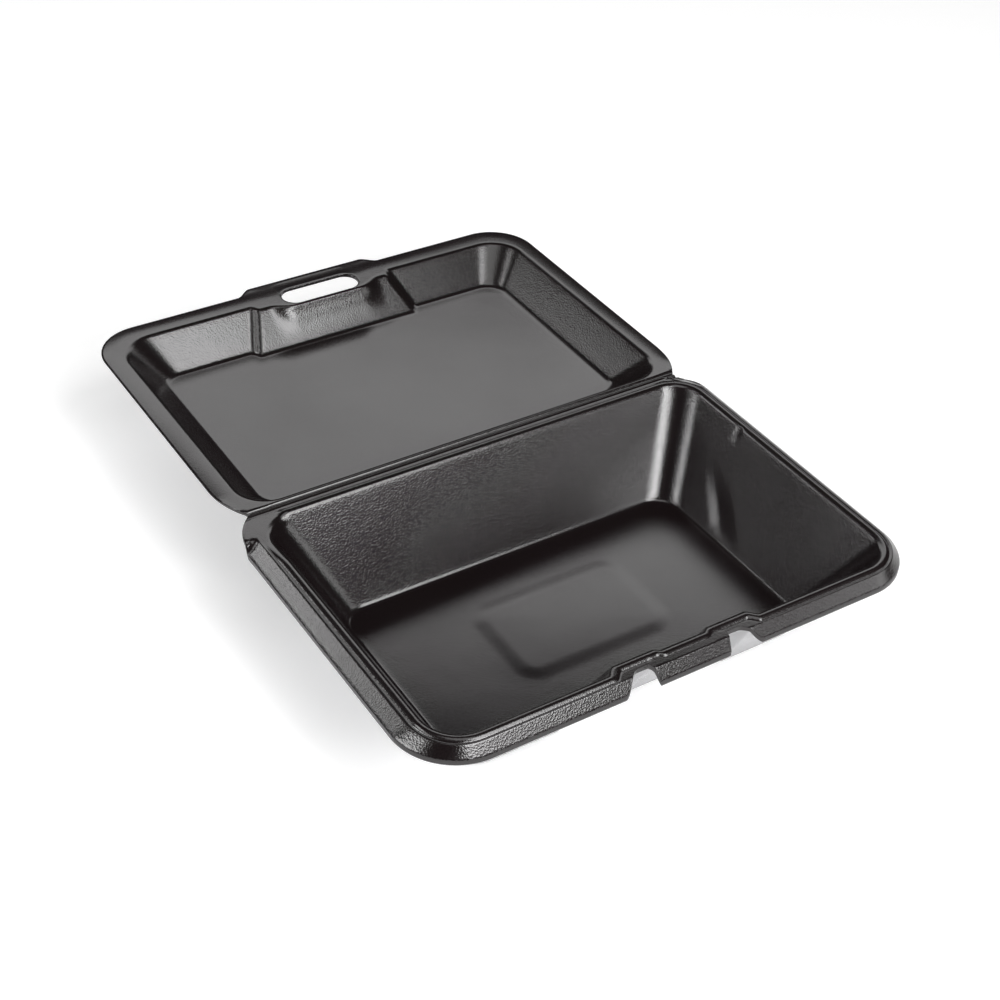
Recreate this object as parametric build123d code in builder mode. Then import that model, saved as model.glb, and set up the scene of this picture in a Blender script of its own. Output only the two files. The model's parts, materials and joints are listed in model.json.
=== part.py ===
from build123d import *
import os
from math import atan2, cos, sin, tan

# Hinged clamshell food container, thermoformed from one sheet of polystyrene foam and shown open.
# Millimetres. Origin at the middle of the tray's foot, X along the hinge, Y towards the hinge, Z up.

# Tray: opening at the rim, floor inside, and height
opening_width = 214.4
opening_depth = 143.8
floor_width = 168.6
floor_depth = 96.6
tray_height = 46.2
tray_sheet = 3.4
opening_front_radius = 16.0
opening_back_radius = 13.0
floor_radius = 11.0
floor_cove_radius = 3.4
foot_edge_radius = 2.6

# Tray: raised pad in the floor
pad_width = 68.0
pad_depth = 42.6
pad_radius = 7.0
pad_rise = 1.2
pad_slope = 1.6

# Tray: panel of the front wall that is set in behind the lock tab
tray_inset_half_width = 36.0
tray_inset_foot_half_width = 42.0
tray_inset_shoulder = 5.0
tray_inset_depth = 3.6
tray_inset_foot_depth = 5.0
tab_seat_half_width = 13.0
tab_seat_shoulder = 3.0
tab_seat_depth = 1.6
fade_depth = 0.5
step_radius = 1.6

# Tray: rim, from the inside out a rounded bead, a narrow groove and a sloping skirt
rim_width = 235.0
rim_front = 80.1
bead_width = 2.9
bead_radius = 1.2
groove_width = 1.5
groove_depth = 1.0
skirt_top_width = 224.2
skirt_top_front = 76.4
skirt_top_drop = 0.8
skirt_drop = 5.5
skirt_sheet = 2.2
rim_front_radius = 27.0
skirt_top_radius = 20.5

# Tray: lock tab between two arched notches through the skirt
notch_root_half_width = 3.2
notch_centre = 22.0
tab_half_width = 16.6
notch_flare = 16.0
notch_reach = 73.9
notch_radius = 2.6

# Flat lands and living hinge along the back
hinge_from_centre = 79.4
hinge_half_length = 107.0
hinge_gap = 0.4
land_drop = 1.0
land_sheet = 1.8
land_start = 60.9
step_width = 1.8
fold_chamfer = 0.5
hinge_groove_depth = 0.6
hinge_groove_width = 1.2
tray_groove_from_hinge = 3.3
lid_groove_from_hinge = 1.9

# Lid: flat flange round the opening, and the runs of the walls down to the panel
lid_width = 230.2
lid_reach = 154.6
lid_sheet = 1.6
lid_flange_drop = 1.84
lid_depth = 15.0
lid_flange_side = 9.4
lid_flange_near = 4.2
lid_flange_far = 11.8
lid_wall_run = 14.4
lid_far_wall_run = 15.3
lid_opening_near_radius = 15.0
lid_opening_far_radius = 17.0
lid_panel_radius = 10.0
lid_cove_radius = 4.0
lid_foot_edge_radius = 4.0
lid_corner_radius = 22.0
lid_side_end = 24.0
lid_brim_radius = 3.0

# Lid: panel of the far wall that is set in behind the slot, and the shelf that carries the slot
lid_inset_half_width = 37.6
lid_inset_foot_half_width = 45.0
lid_inset_shoulder = 3.6
lid_inset_depth = 3.8
lid_inset_foot_depth = 4.4
shelf_half_width = 25.0
shelf_shoulder = 3.0
shelf_depth = 8.2
nose_half_width = 30.0
nose_shoulder = 8.5
nose_reach = 5.0
nose_radius = 5.0

# Lid: slot that the lock tab enters
slot_length = 40.0
slot_width = 13.2
slot_margin = 10.0
slot_radius = 6.0
slot_edge_radius = 0.6

# Shares of a rounded edge's turn at which its outline is drawn
turn_shares = (0, 0.3, 0.65, 1)

# Shares of a wall's rise at which its outline is drawn between foot and rim
rise_shares = (0.2, 0.4, 0.6, 0.8)

# Running clearance between the closed lid and the tray's bead, and an overrun for cuts
closed_clearance = 0.35
overrun = 5.0

# Values worked out from the sizes above
wall_run_x = (opening_width - floor_width) / 2
wall_run_y = (opening_depth - floor_depth) / 2
floor_drop = tray_height - tray_sheet
tray_draft = wall_run_x / floor_drop
wall_spread = tray_sheet * (1 + tray_draft**2) ** 0.5
lid_draft = lid_wall_run / lid_depth
lid_spread = lid_sheet * (1 + lid_draft**2) ** 0.5
flange_level = tray_height - lid_flange_drop
panel_level = flange_level - lid_depth
land_level = tray_height - land_drop
hinge_level = tray_height + (closed_clearance - lid_flange_drop) / 2
skirt_top_level = tray_height - skirt_top_drop
skirt_level = tray_height - skirt_drop


def wall_outline(level, half_width, front, back, front_radius, back_radius, steps, side=-1):
    """Face of a rounded rectangle whose front edge steps in or out at its middle.

    front and back are distances from the X axis, the front lying on the given side of it. Each step is
    a half width, a shoulder and a depth, counted from the front edge, from the widest step inwards."""
    left = [(-half_width, back), (-half_width, front)]
    depth_before = 0
    for half, shoulder, depth in steps:
        left.append((-half, front - depth_before))
        left.append((-half + shoulder, front - depth))
        depth_before = depth
    points = left + [(-x, y) for x, y in reversed(left)]
    left_radii = [back_radius, front_radius] + [step_radius] * (len(left) - 2)
    radii = left_radii + left_radii[::-1]
    with BuildSketch(Plane.XY.offset(level)) as outline:
        with BuildLine():
            FilletPolyline([(x, side * y) for x, y in points], radius=radii, close=True)
        make_face()
    return outline.sketch.face()


def tray_steps(spread, foot_share):
    """Steps of the tray's front wall at a share of the way from the rim down to the floor."""
    half = tray_inset_half_width + (tray_inset_foot_half_width - tray_inset_half_width) * foot_share
    depth = tray_inset_depth + (tray_inset_foot_depth - tray_inset_depth) * foot_share
    seat = depth - tab_seat_depth + (tab_seat_depth - fade_depth) * foot_share
    shoulder = tray_inset_shoulder
    return [(half - spread / 2, shoulder, depth), (tab_seat_half_width, tab_seat_shoulder, seat)]


def lid_steps(spread, foot_share):
    """Steps of the lid's far wall at a share of the way from the flange down to the panel."""
    half = lid_inset_half_width + (lid_inset_foot_half_width - lid_inset_half_width) * foot_share
    depth = lid_inset_depth + (lid_inset_foot_depth - lid_inset_depth) * foot_share
    shelf = depth + (shelf_depth - lid_inset_depth) * (1 - foot_share) + fade_depth * foot_share
    return [(half - spread / 2, lid_inset_shoulder, depth), (shelf_half_width, shelf_shoulder, shelf)]


def tray_wall_section(level, spread):
    """Outline of the tray's wall at a level, moved outwards by spread from its inner face."""
    share = (tray_height - level) / floor_drop
    half_width = opening_width / 2 - wall_run_x * share + spread
    half_depth = opening_depth / 2 - wall_run_y * share + spread
    front_radius = opening_front_radius + (floor_radius - opening_front_radius) * share + spread
    back_radius = opening_back_radius + (floor_radius - opening_back_radius) * share + spread
    steps = tray_steps(spread, share)
    return wall_outline(level, half_width, half_depth, -half_depth, front_radius, back_radius, steps)


def tray_body_section(level, spread):
    """Outline of the outside of the tray's wall at a level."""
    return tray_wall_section(level, wall_spread + spread)


def lid_wall_section(level, spread):
    """Outline of the lid's wall at a level, moved outwards by spread from its inner face."""
    share = (flange_level - level) / lid_depth
    half_width = lid_width / 2 - lid_flange_side - lid_wall_run * share + spread
    far = lid_reach - lid_flange_far - lid_far_wall_run * share + spread
    near = lid_flange_near + lid_wall_run * share - spread
    far_radius = lid_opening_far_radius + (lid_panel_radius - lid_opening_far_radius) * share + spread
    near_radius = lid_opening_near_radius + (lid_panel_radius - lid_opening_near_radius) * share + spread
    far_y = hinge_from_centre + far
    near_y = hinge_from_centre + near
    steps = lid_steps(spread, share)
    return wall_outline(level, half_width, far_y, near_y, far_radius, near_radius, steps, side=1)


def lid_body_section(level, spread):
    """Outline of the outside of the lid's wall at a level."""
    return lid_wall_section(level, lid_spread + spread)


def skirt_outline(level, half_width, front, radius):
    """Face of the skirt at a level: straight sides that run back to the land, and two front corners."""
    with BuildSketch(Plane.XY.offset(level)) as outline:
        with BuildLine():
            Polyline(
                (-half_width, land_start + step_width),
                (-half_width, -front),
                (half_width, -front),
                (half_width, land_start + step_width),
                close=True,
            )
        make_face()
        fillet(outline.vertices().group_by(Axis.Y)[0], radius)
    return outline.sketch.face()


def land_outline(level, start, curve_start, half_width, end):
    """Face of a flat land beside the hinge: straight sides that curve in to the ends of the hinge."""
    with BuildSketch(Plane.XY.offset(level)) as outline:
        with BuildLine():
            sides = Line((-half_width, start), (half_width, start))
            right = Line(sides @ 1, (half_width, curve_start))
            tip = TangentArc(right @ 1, (hinge_half_length, end), tangent=right % 1)
            across = Line(tip @ 1, (-hinge_half_length, end))
            left_tip = TangentArc((-half_width, curve_start), across @ 1, tangent=right % 1)
            Line(left_tip @ 0, sides @ 0)
        make_face()
    return outline.sketch.face()


def notch_outline(level):
    """Face of one arched notch in plan, steep beside the tab and flared on its outer side."""
    root_start = notch_centre - notch_root_half_width
    root_end = notch_centre + notch_root_half_width
    flare_end = tab_half_width + notch_flare
    with BuildSketch(Plane.XY.offset(level)) as outline:
        with BuildLine():
            Polyline(
                (tab_half_width, -rim_front),
                (root_start, -notch_reach),
                (root_end, -notch_reach),
                (flare_end, -rim_front),
                (flare_end, -rim_front - overrun),
                (tab_half_width, -rim_front - overrun),
                close=True,
            )
        make_face()
        fillet(outline.vertices().group_by(Axis.Y)[-1], notch_radius)
    return outline.sketch.face()


def rounding(radius, draft):
    """Heights and insets of an arc that touches a level face and a wall of the given draft.

    Both are counted from the corner that the arc replaces, the height along the wall's rise and the
    inset away from the wall."""
    turn = atan2(1, draft)
    reach = radius * tan(turn / 2)
    heights = [radius * (1 - cos(turn * share)) for share in turn_shares]
    insets = [reach - radius * sin(turn * share) for share in turn_shares]
    return [(height, inset + height * draft) for height, inset in zip(heights, insets)]


def drawn_wall(section, bottom, top, draft, cove_radius, brim_radius=0):
    """Solid inside a wall from its bottom to its top level, with a coved foot and a rounded brim.

    section gives the wall's outline at a level and a spread, and draft is the wall's run for each unit of
    height."""
    sections = [section(bottom + height, -inset) for height, inset in rounding(cove_radius, draft)]
    sections += [section(bottom + (top - bottom) * share, 0) for share in rise_shares]
    if brim_radius > 0:
        sections += [section(top - height, inset) for height, inset in reversed(rounding(brim_radius, draft))]
    else:
        sections.append(section(top, 0))
    with BuildPart() as form:
        loft(sections=sections, ruled=True)
    return form.part


def rim_bead(base_level):
    """Solid bead that stands on the tray's wall, upright outside and rounded over at its top."""
    sections = [tray_wall_section(base_level, bead_width + (tray_height - base_level) * tray_draft)]
    for height, inset in reversed(rounding(bead_radius, 0)):
        sections.append(tray_wall_section(tray_height - height, bead_width - inset + height * tray_draft))
    with BuildPart() as form:
        loft(sections=sections, ruled=True)
    return form.part


def hinge_groove(y, level):
    """Shallow groove of V section pressed along the hinge, as a bar with its axis at the given level."""
    half = hinge_groove_width / 2
    section = [(-half, 0), (0, -hinge_groove_depth), (half, 0), (0, hinge_groove_depth)]
    with BuildPart() as bar:
        with BuildSketch(Plane.YZ.offset(-rim_width / 2)):
            with Locations((y, level)):
                Polygon(section, align=None)
        extrude(amount=rim_width)
    return bar.part


# Forms of the walls: the outside and the inside of the tray and of the lid
tray_body = drawn_wall(tray_body_section, 0, skirt_top_level, tray_draft, foot_edge_radius)
tray_hollow = drawn_wall(
    tray_wall_section,
    tray_sheet,
    tray_height,
    tray_draft,
    floor_cove_radius,
    bead_radius,
)
lid_body = drawn_wall(
    lid_body_section,
    panel_level - lid_sheet,
    flange_level,
    lid_draft,
    lid_foot_edge_radius,
)
lid_hollow = drawn_wall(
    lid_wall_section,
    panel_level,
    flange_level,
    lid_draft,
    lid_cove_radius,
    lid_brim_radius,
)

# The tray: a deep body with a level floor under a rim of bead, groove and skirt
tray_end = hinge_from_centre - hinge_gap / 2
step_level = skirt_level - skirt_sheet
with BuildPart() as base_tray:
    # skirt, as a sloping skin round the rim
    skirt_faces = [
        skirt_outline(skirt_top_level, skirt_top_width / 2, skirt_top_front, skirt_top_radius),
        skirt_outline(skirt_level, rim_width / 2, rim_front, rim_front_radius),
    ]
    loft(sections=skirt_faces, ruled=True)
    extrude(skirt_faces[1], amount=skirt_sheet, dir=(0, 0, -1))
    under_faces = [face.moved(Location((0, 0, -skirt_sheet))) for face in skirt_faces]
    loft(sections=under_faces, ruled=True, mode=Mode.SUBTRACT)

    # two arched notches, which leave the lock tab standing between them
    with BuildSketch(Plane.XY.offset(step_level)):
        add(notch_outline(step_level))
        mirror(about=Plane.YZ)
    extrude(amount=tray_height, mode=Mode.SUBTRACT)

    # step up from the skirt to the flat lands that end at the hinge
    with BuildSketch(Plane.XY.offset(step_level)):
        add(land_outline(step_level, land_start, land_start + step_width, rim_width / 2, tray_end))
        with Locations((0, land_start + step_width / 2)):
            Rectangle(rim_width, step_width, mode=Mode.INTERSECT)
    extrude(amount=land_level - step_level)
    land_under = land_level - land_sheet
    land_face = land_outline(land_under, land_start, land_start + step_width, rim_width / 2, tray_end)
    extrude(land_face, amount=land_sheet)

    # body, and the bead that stands on its top edge
    add(tray_body)
    groove_base = skirt_top_level - groove_depth
    add(rim_bead(groove_base))
    add(tray_hollow, mode=Mode.SUBTRACT)

    # groove round the foot of the bead
    bead_foot = bead_width + (tray_height - groove_base) * tray_draft
    with BuildSketch(Plane.XY.offset(groove_base)):
        add(tray_wall_section(groove_base, bead_foot + groove_width))
        add(tray_wall_section(groove_base, bead_foot), mode=Mode.SUBTRACT)
    extrude(amount=groove_depth, mode=Mode.SUBTRACT)

    # raised pad in the floor, pressed up from below, so that the foot has the same recess
    for pad_base, mode in ((tray_sheet, Mode.ADD), (0, Mode.SUBTRACT)):
        with BuildSketch(Plane.XY.offset(pad_base)):
            RectangleRounded(pad_width + 2 * pad_slope, pad_depth + 2 * pad_slope, pad_radius + pad_slope)
        with BuildSketch(Plane.XY.offset(pad_base + pad_rise)):
            RectangleRounded(pad_width, pad_depth, pad_radius)
        loft(ruled=True, mode=mode)

    # groove pressed beside the fold
    add(hinge_groove(hinge_from_centre - tray_groove_from_hinge, land_level), mode=Mode.SUBTRACT)
    chamfer(base_tray.edges().filter_by(Axis.X).group_by(Axis.Y)[-1].sort_by(Axis.Z)[-1], fold_chamfer)

base_tray.part.label = "base_tray"

# The lid: a shallow panel inside a flat flange, with a nose and a slot at its far side
lid_start = hinge_from_centre + hinge_gap / 2
lid_far = hinge_from_centre + lid_reach
slot_middle = lid_far + nose_reach - slot_margin - slot_width / 2
with BuildPart() as lid:
    # flange, with curved ends towards the hinge
    with BuildSketch(Plane.XY.offset(flange_level - lid_sheet)) as flange_outline:
        with BuildLine():
            side_end = (lid_width / 2, hinge_from_centre + lid_side_end)
            other_side_end = (-lid_width / 2, hinge_from_centre + lid_side_end)
            hinge_edge = Line((-hinge_half_length, lid_start), (hinge_half_length, lid_start))
            TangentArc(side_end, hinge_edge @ 1, tangent=(0, -1))
            TangentArc(other_side_end, hinge_edge @ 0, tangent=(0, -1))
            nose_root = nose_half_width + nose_shoulder
            Polyline(
                side_end,
                (lid_width / 2, lid_far),
                (nose_root, lid_far),
                (nose_half_width, lid_far + nose_reach),
                (-nose_half_width, lid_far + nose_reach),
                (-nose_root, lid_far),
                (-lid_width / 2, lid_far),
                other_side_end,
            )
        make_face()
        far_row = flange_outline.vertices().group_by(Axis.Y)[-2].sort_by(Axis.X)
        fillet([far_row[0], far_row[-1]], lid_corner_radius)
        fillet(flange_outline.vertices().group_by(Axis.Y)[-1], nose_radius)
    extrude(amount=lid_sheet)

    # panel and its walls, rounded over at the flange
    add(lid_body)
    add(lid_hollow, mode=Mode.SUBTRACT)

    # slot for the lock tab, with softened edges
    with BuildSketch(Plane.XY.offset(panel_level)):
        with Locations((0, slot_middle)):
            RectangleRounded(slot_length, slot_width, slot_radius)
    extrude(amount=lid_depth, mode=Mode.SUBTRACT)
    flange_top = lid.faces().filter_by(Axis.Z).sort_by(Axis.Z)[-1]
    fillet(flange_top.inner_wires().sort_by(SortBy.LENGTH)[0].edges(), slot_edge_radius)

    # groove pressed beside the fold
    add(hinge_groove(hinge_from_centre + lid_groove_from_hinge, flange_level), mode=Mode.SUBTRACT)
    chamfer(lid.edges().filter_by(Axis.X).group_by(Axis.Y)[0].sort_by(Axis.Z)[-1], fold_chamfer)

lid.part.label = "lid"

os.makedirs("parts", exist_ok=True)
export_step(base_tray.part, "parts/base_tray.step")
export_step(lid.part, "parts/lid.step")
for piece in (base_tray, lid):
    middle = piece.part.center(CenterOf.MASS)
    print(piece.part.label, "volume", round(piece.part.volume))
    print("middle of mass", round(middle.Y, 2), round(middle.Z, 2))
print("hinge line at", hinge_from_centre, round(hinge_level, 3))
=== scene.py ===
import json
import math

import bmesh
import bpy
import numpy as np
from mathutils import Matrix, Vector


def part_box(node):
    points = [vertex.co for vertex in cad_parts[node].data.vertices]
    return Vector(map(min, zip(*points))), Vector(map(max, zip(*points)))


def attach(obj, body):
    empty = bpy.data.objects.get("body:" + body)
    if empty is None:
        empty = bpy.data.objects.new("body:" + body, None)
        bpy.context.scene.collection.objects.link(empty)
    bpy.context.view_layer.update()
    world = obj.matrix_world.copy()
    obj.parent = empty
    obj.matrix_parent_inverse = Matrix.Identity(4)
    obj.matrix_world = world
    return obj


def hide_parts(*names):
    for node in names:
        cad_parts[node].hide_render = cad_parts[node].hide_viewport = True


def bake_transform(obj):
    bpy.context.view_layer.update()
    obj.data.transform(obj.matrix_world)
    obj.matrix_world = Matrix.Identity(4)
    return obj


bl_info = {
    "name": "Foam Clamshell Container",
    "version": (1, 0, 0),
    "blender": (4, 5, 0),
    "location": "3D View > Sidebar > Clamshell",
    "description": "Moulded shells, living hinge and foam finishes of a hinged takeaway container",
    "category": "Add Mesh",
}

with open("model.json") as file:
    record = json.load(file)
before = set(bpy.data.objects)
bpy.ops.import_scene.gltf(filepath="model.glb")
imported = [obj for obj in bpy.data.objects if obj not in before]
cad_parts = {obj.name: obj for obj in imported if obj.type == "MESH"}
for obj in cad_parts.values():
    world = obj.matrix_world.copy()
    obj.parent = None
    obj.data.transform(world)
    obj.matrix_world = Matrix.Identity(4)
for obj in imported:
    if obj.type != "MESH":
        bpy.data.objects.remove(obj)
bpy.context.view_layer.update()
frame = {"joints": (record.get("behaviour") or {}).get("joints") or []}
TRAY_LOW, TRAY_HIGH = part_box("base_tray")
LID_LOW, LID_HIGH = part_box("lid")
HINGE = Vector(frame["joints"][0]["pos_m"])

STAGE_MIDDLE = Vector((0, 0.06, 0.03))
LIGHT_DISTANCE = 1.5
CAMERA_PLACE = Vector((-0.3433, -0.4455, 0.5002))
CAMERA_VIEW = Vector((0.4449, 0.6519, -0.6141))
CAMERA_UP = Vector((0.2992, 0.5381, 0.7880))

BLACK, PALE = 0, 1
CORNER_POINTS = 28
SIDE_POINTS = 84
BACK_POINTS = 60
END_POINTS = 12
STRETCH = 0.68

INNER_INSET = 0.012
INNER_RADIUS = 0.006
TIP_GAP = 0.0001
EDGE_EASE = 0.0002
ON_EDGE = 1e-7


# Shader maths


class Value:
    """A number that varies over the surface: wraps an output socket, and adds Math nodes by operators."""

    def __init__(self, tree, socket):
        self.tree = tree
        self.socket = socket

    def math(self, operation, *others):
        """The result of a Math node on this number and the others, which may be plain numbers."""
        node = self.tree.nodes.new("ShaderNodeMath")
        node.operation = operation
        for slot, value in zip(node.inputs, (self, *others)):
            if isinstance(value, Value):
                self.tree.links.new(value.socket, slot)
            else:
                slot.default_value = value
        return Value(self.tree, node.outputs[0])

    def __add__(self, other):
        return self.math("ADD", other)

    def __mul__(self, other):
        return self.math("MULTIPLY", other)

    def __rsub__(self, other):
        return (self * -1.0) + other

    __radd__ = __add__
    __rmul__ = __mul__


class Finish:
    """A material or world under construction: its node tree, and one method that adds any node."""

    def __init__(self, owner):
        self.owner = owner
        self.owner.use_nodes = True
        self.tree = self.owner.node_tree
        self.tree.nodes.clear()

    def node(self, kind, settings=None, inputs=None):
        """Adds a node of the given kind, sets its settings, then its sockets by name or number."""
        node = self.tree.nodes.new("ShaderNode" + kind)
        for name, value in (settings or {}).items():
            setattr(node, name, value)
        for name, value in (inputs or {}).items():
            if isinstance(value, Value):
                self.tree.links.new(value.socket, node.inputs[name])
            elif isinstance(value, bpy.types.NodeSocket):
                self.tree.links.new(value, node.inputs[name])
            else:
                node.inputs[name].default_value = value
        return node

    def value(self, node, name=0):
        """One output of a node as a number."""
        return Value(self.tree, node.outputs[name])

    def noise(self, scale, detail, roughness=0.5):
        """Fractal noise of the given cells for each metre, from 0 to 1, on Object coordinates."""
        place = self.node("TexCoord")
        settings = {"noise_dimensions": "3D"}
        inputs = {
            "Vector": place.outputs["Object"],
            "Scale": scale,
            "Detail": detail,
            "Roughness": roughness,
        }
        return self.value(self.node("TexNoise", settings, inputs), "Fac")

    def cells(self, scale, smoothness):
        """Distance from the nearest of scattered cell centres, which gives a pebbled relief."""
        place = self.node("TexCoord")
        settings = {"feature": "SMOOTH_F1", "voronoi_dimensions": "3D"}
        inputs = {"Vector": place.outputs["Object"], "Scale": scale, "Smoothness": smoothness}
        return self.value(self.node("TexVoronoi", settings, inputs), "Distance")

    def close(self, shader, kind="OutputMaterial"):
        """Links the finished shader to the output."""
        self.node(kind, None, {"Surface": shader.outputs[0]})
        return self.owner


def foam_finish(name, look, colour):
    """Glossy skin of expanded polystyrene: a pebbled relief of closed cells with soft waves between them.

    Relief is cells of well under a millimetre, finer grain on top and slow waves below; on the level parts
    the cells are pressed flatter. Roughness follows the grain, and the colour only changes a little from
    place to place."""
    finish = Finish(bpy.data.materials.new(name))
    pebble = finish.cells(look.pebble_cells, 0.6)
    grain = finish.noise(look.grain_cells, 3.0, 0.65)
    waves = finish.noise(look.wave_cells, 2.0)
    cloud = finish.noise(look.cloud_cells, 3.0)
    level = finish.value(finish.node("Attribute", {"attribute_name": "level"}), "Fac")
    skin = (pebble * look.pebble_height + grain * look.grain_height) * (1.0 - level * look.smoothing)
    relief = skin + waves * look.wave_height
    bump_inputs = {"Strength": 1.0, "Distance": 1.0, "Height": relief}
    bump = finish.node("Bump", None, bump_inputs)
    rough = grain * 0.12 + cloud * 0.1 + (look.roughness - 0.11)
    light = tuple(min(1.0, c * 1.12) for c in colour)
    dark = tuple(c * 0.88 for c in colour)
    mix_settings = {"data_type": "RGBA"}
    mix_inputs = {0: cloud, 6: (*dark, 1), 7: (*light, 1)}
    tone = finish.node("Mix", mix_settings, mix_inputs)
    shader_inputs = {
        "Base Color": tone.outputs[2],
        "Roughness": rough,
        "IOR": look.ior,
        "Normal": bump.outputs[0],
    }
    shader = finish.node("BsdfPrincipled", None, shader_inputs)
    return finish.close(shader)


# Outlines


def smooth(low, high, value):
    """0 below low and 1 above high, with a smooth rise between: t squared times (3 - 2 t)."""
    t = np.clip((value - low) / (high - low), 0, 1)
    return t * t * (3 - 2 * t)


def mirrored(right):
    """Distances on both sides of the middle plane from those on the right, which start at zero."""
    return np.concatenate([-right[:0:-1], right])


def tray_lanes():
    """Distances from the middle plane at which the tray's front keeps its points, closer at the notches."""
    coarse = np.arange(0, 0.0501, 0.0008)
    tab_side = np.arange(0.0160, 0.0204, 0.0002)
    flare = np.arange(0.0236, 0.0340, 0.0004)
    keep = coarse[((coarse < 0.0158) | (coarse > 0.0206)) & ((coarse < 0.0234) | (coarse > 0.0342))]
    return mirrored(np.unique(np.round(np.concatenate([keep, tab_side, flare]), 6)))


def lid_lanes(end, radius):
    """The same for the lid: closer at the round ends of the slot, which reach out to end."""
    straight = np.linspace(0, end - radius, 18)
    turned = end - radius + radius * np.sin(np.linspace(0, math.pi / 2, 16)[1:])
    beside = end + np.array([0.0002, 0.0004, 0.0007, 0.0011, 0.0016])
    rest = np.arange(end + 0.0024, 0.0501, 0.0008)
    return mirrored(np.concatenate([straight, turned, beside, rest]))


def front_row(lane, end):
    """Places along a front edge that runs from -end to end: fixed lanes in the middle, even beyond them."""
    lane = lane * min(1.0, STRETCH * end / lane[-1])
    beyond = np.linspace(lane[-1], end, END_POINTS + 1)[1:]
    return np.concatenate([-beyond[::-1], lane, beyond])


def side_shares():
    """Shares of the way along a side, even, and closer together at its end beside the step of the rim."""
    even = np.linspace(0, 0.955, SIDE_POINTS)
    close = np.linspace(0.96, 1, 18)
    return np.concatenate([even, close])


def arc(middle, radius, start, turn, count):
    """Points on a circle from the angle start through the angle turn."""
    angle = start + turn * np.linspace(0, 1, count)
    return np.stack([middle[0] + radius * np.cos(angle), middle[1] + radius * np.sin(angle)], 1)


def ring(lane, half_width, front, front_radius, corner):
    """Closed outline, anticlockwise: front edge, front corner, side, back corner, back edge and so round.

    corner holds the points of the right back corner. Every outline has the same number of points, so
    any two can be joined by faces."""
    end = half_width - front_radius
    row = front_row(lane, end)
    front_edge = np.stack([row, np.full_like(row, -front)], 1)
    turn = arc((end, front_radius - front), front_radius, -math.pi / 2, math.pi / 2, CORNER_POINTS)[1:]
    shares = side_shares()[1:-1]
    start = turn[-1]
    side = start + (corner[0] - start) * shares[:, None]
    across = np.linspace(corner[-1][0], -corner[-1][0], BACK_POINTS)[1:-1]
    back = np.stack([across, np.full_like(across, corner[-1][1])], 1)
    right = np.concatenate([turn, side, corner])
    left = right[::-1] * (-1, 1)
    return np.concatenate([front_edge, right, back, left[:-1]])


def wall_ring(lane, half_width, front, back, front_radius, back_radius):
    """Outline of a rounded rectangle: a quarter circle at each corner."""
    middle = (half_width - back_radius, back - back_radius)
    corner = arc(middle, back_radius, 0, math.pi / 2, CORNER_POINTS)
    return ring(lane, half_width, front, front_radius, corner)


def tip_ring(lane, half_width, front, front_radius, side_end, tip, back, inner_end):
    """Outline whose sides curve in behind side_end towards the point tip, and are cut off at back.

    The curve is the circle that leaves the side without a break and passes through tip. Half of the
    corner's points lie on it, and half on the cut from there to inner_end."""
    across = half_width - tip[0]
    along = tip[1] - side_end
    radius = (across**2 + along**2) / (2 * across)
    turn = math.asin((back - side_end) / radius)
    half = CORNER_POINTS // 2
    curve = arc((half_width - radius, side_end), radius, 0, turn, half)
    cut_x = np.linspace(curve[-1][0], inner_end, CORNER_POINTS - half + 1)[1:]
    cut = np.stack([cut_x, np.full_like(cut_x, back)], 1)
    return ring(lane, half_width, front, front_radius, np.concatenate([curve, cut]))


def pull(points, steps, limit):
    """Moves the front edge inwards by steps: each a half width, a shoulder and a depth, widest first.

    The depth changes over the shoulder by the smooth rise."""
    x = np.abs(points[:, 0])
    shift = np.zeros(len(points))
    before = 0.0
    for half, shoulder, depth in steps:
        shift += (depth - before) * (1 - smooth(half - shoulder, half, x))
        before = depth
    moved = points.copy()
    moved[:, 1] += np.where(points[:, 1] < limit, shift, 0)
    return moved


def rounding(radius, draft, count):
    """Heights and insets of an arc between a level face and a wall.

    draft is the wall's run for each unit of rise."""
    turn = math.atan2(1, draft)
    reach = radius * math.tan(turn / 2)
    share = np.linspace(0, 1, count)
    height = radius * (1 - np.cos(turn * share))
    inset = reach - radius * np.sin(turn * share) + height * draft
    return list(zip(height, inset))


# Meshes


def lift(points, level):
    """Gives an outline its height, a number or one for each point."""
    return np.column_stack([points, np.broadcast_to(level, len(points))])


def band_faces(first, second, count):
    """Quads between two closed rows that start at the given numbers, facing up if the second is inside."""
    i = np.arange(count)
    j = (i + 1) % count
    return np.stack([first + i, first + j, second + j, second + i], 1)


def make_piece(name, vertices, faces, skins, materials, sharp=35.0):
    """Object from an array of corners and arrays of faces, each with the number of its skin."""
    mesh = bpy.data.meshes.new(name)
    polygons = np.concatenate([f.reshape(-1) for f in faces])
    counts = np.concatenate([np.full(len(f), f.shape[1]) for f in faces])
    mesh.vertices.add(len(vertices))
    mesh.vertices.foreach_set("co", vertices.astype(np.float32).ravel())
    mesh.loops.add(len(polygons))
    mesh.loops.foreach_set("vertex_index", polygons.astype(np.int32))
    starts = np.concatenate([[0], np.cumsum(counts)[:-1]])
    mesh.polygons.add(len(counts))
    mesh.polygons.foreach_set("loop_start", starts.astype(np.int32))
    mesh.polygons.foreach_set("material_index", np.concatenate(skins).astype(np.int32))
    mesh.update(calc_edges=True)
    mesh.validate()
    weld(mesh)
    mark_level(mesh)
    mesh.shade_smooth()
    mesh.set_sharp_from_angle(angle=math.radians(sharp))
    for material in materials:
        mesh.materials.append(material)
    piece = bpy.data.objects.new(name, mesh)
    bpy.context.scene.collection.objects.link(piece)
    return piece


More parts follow.
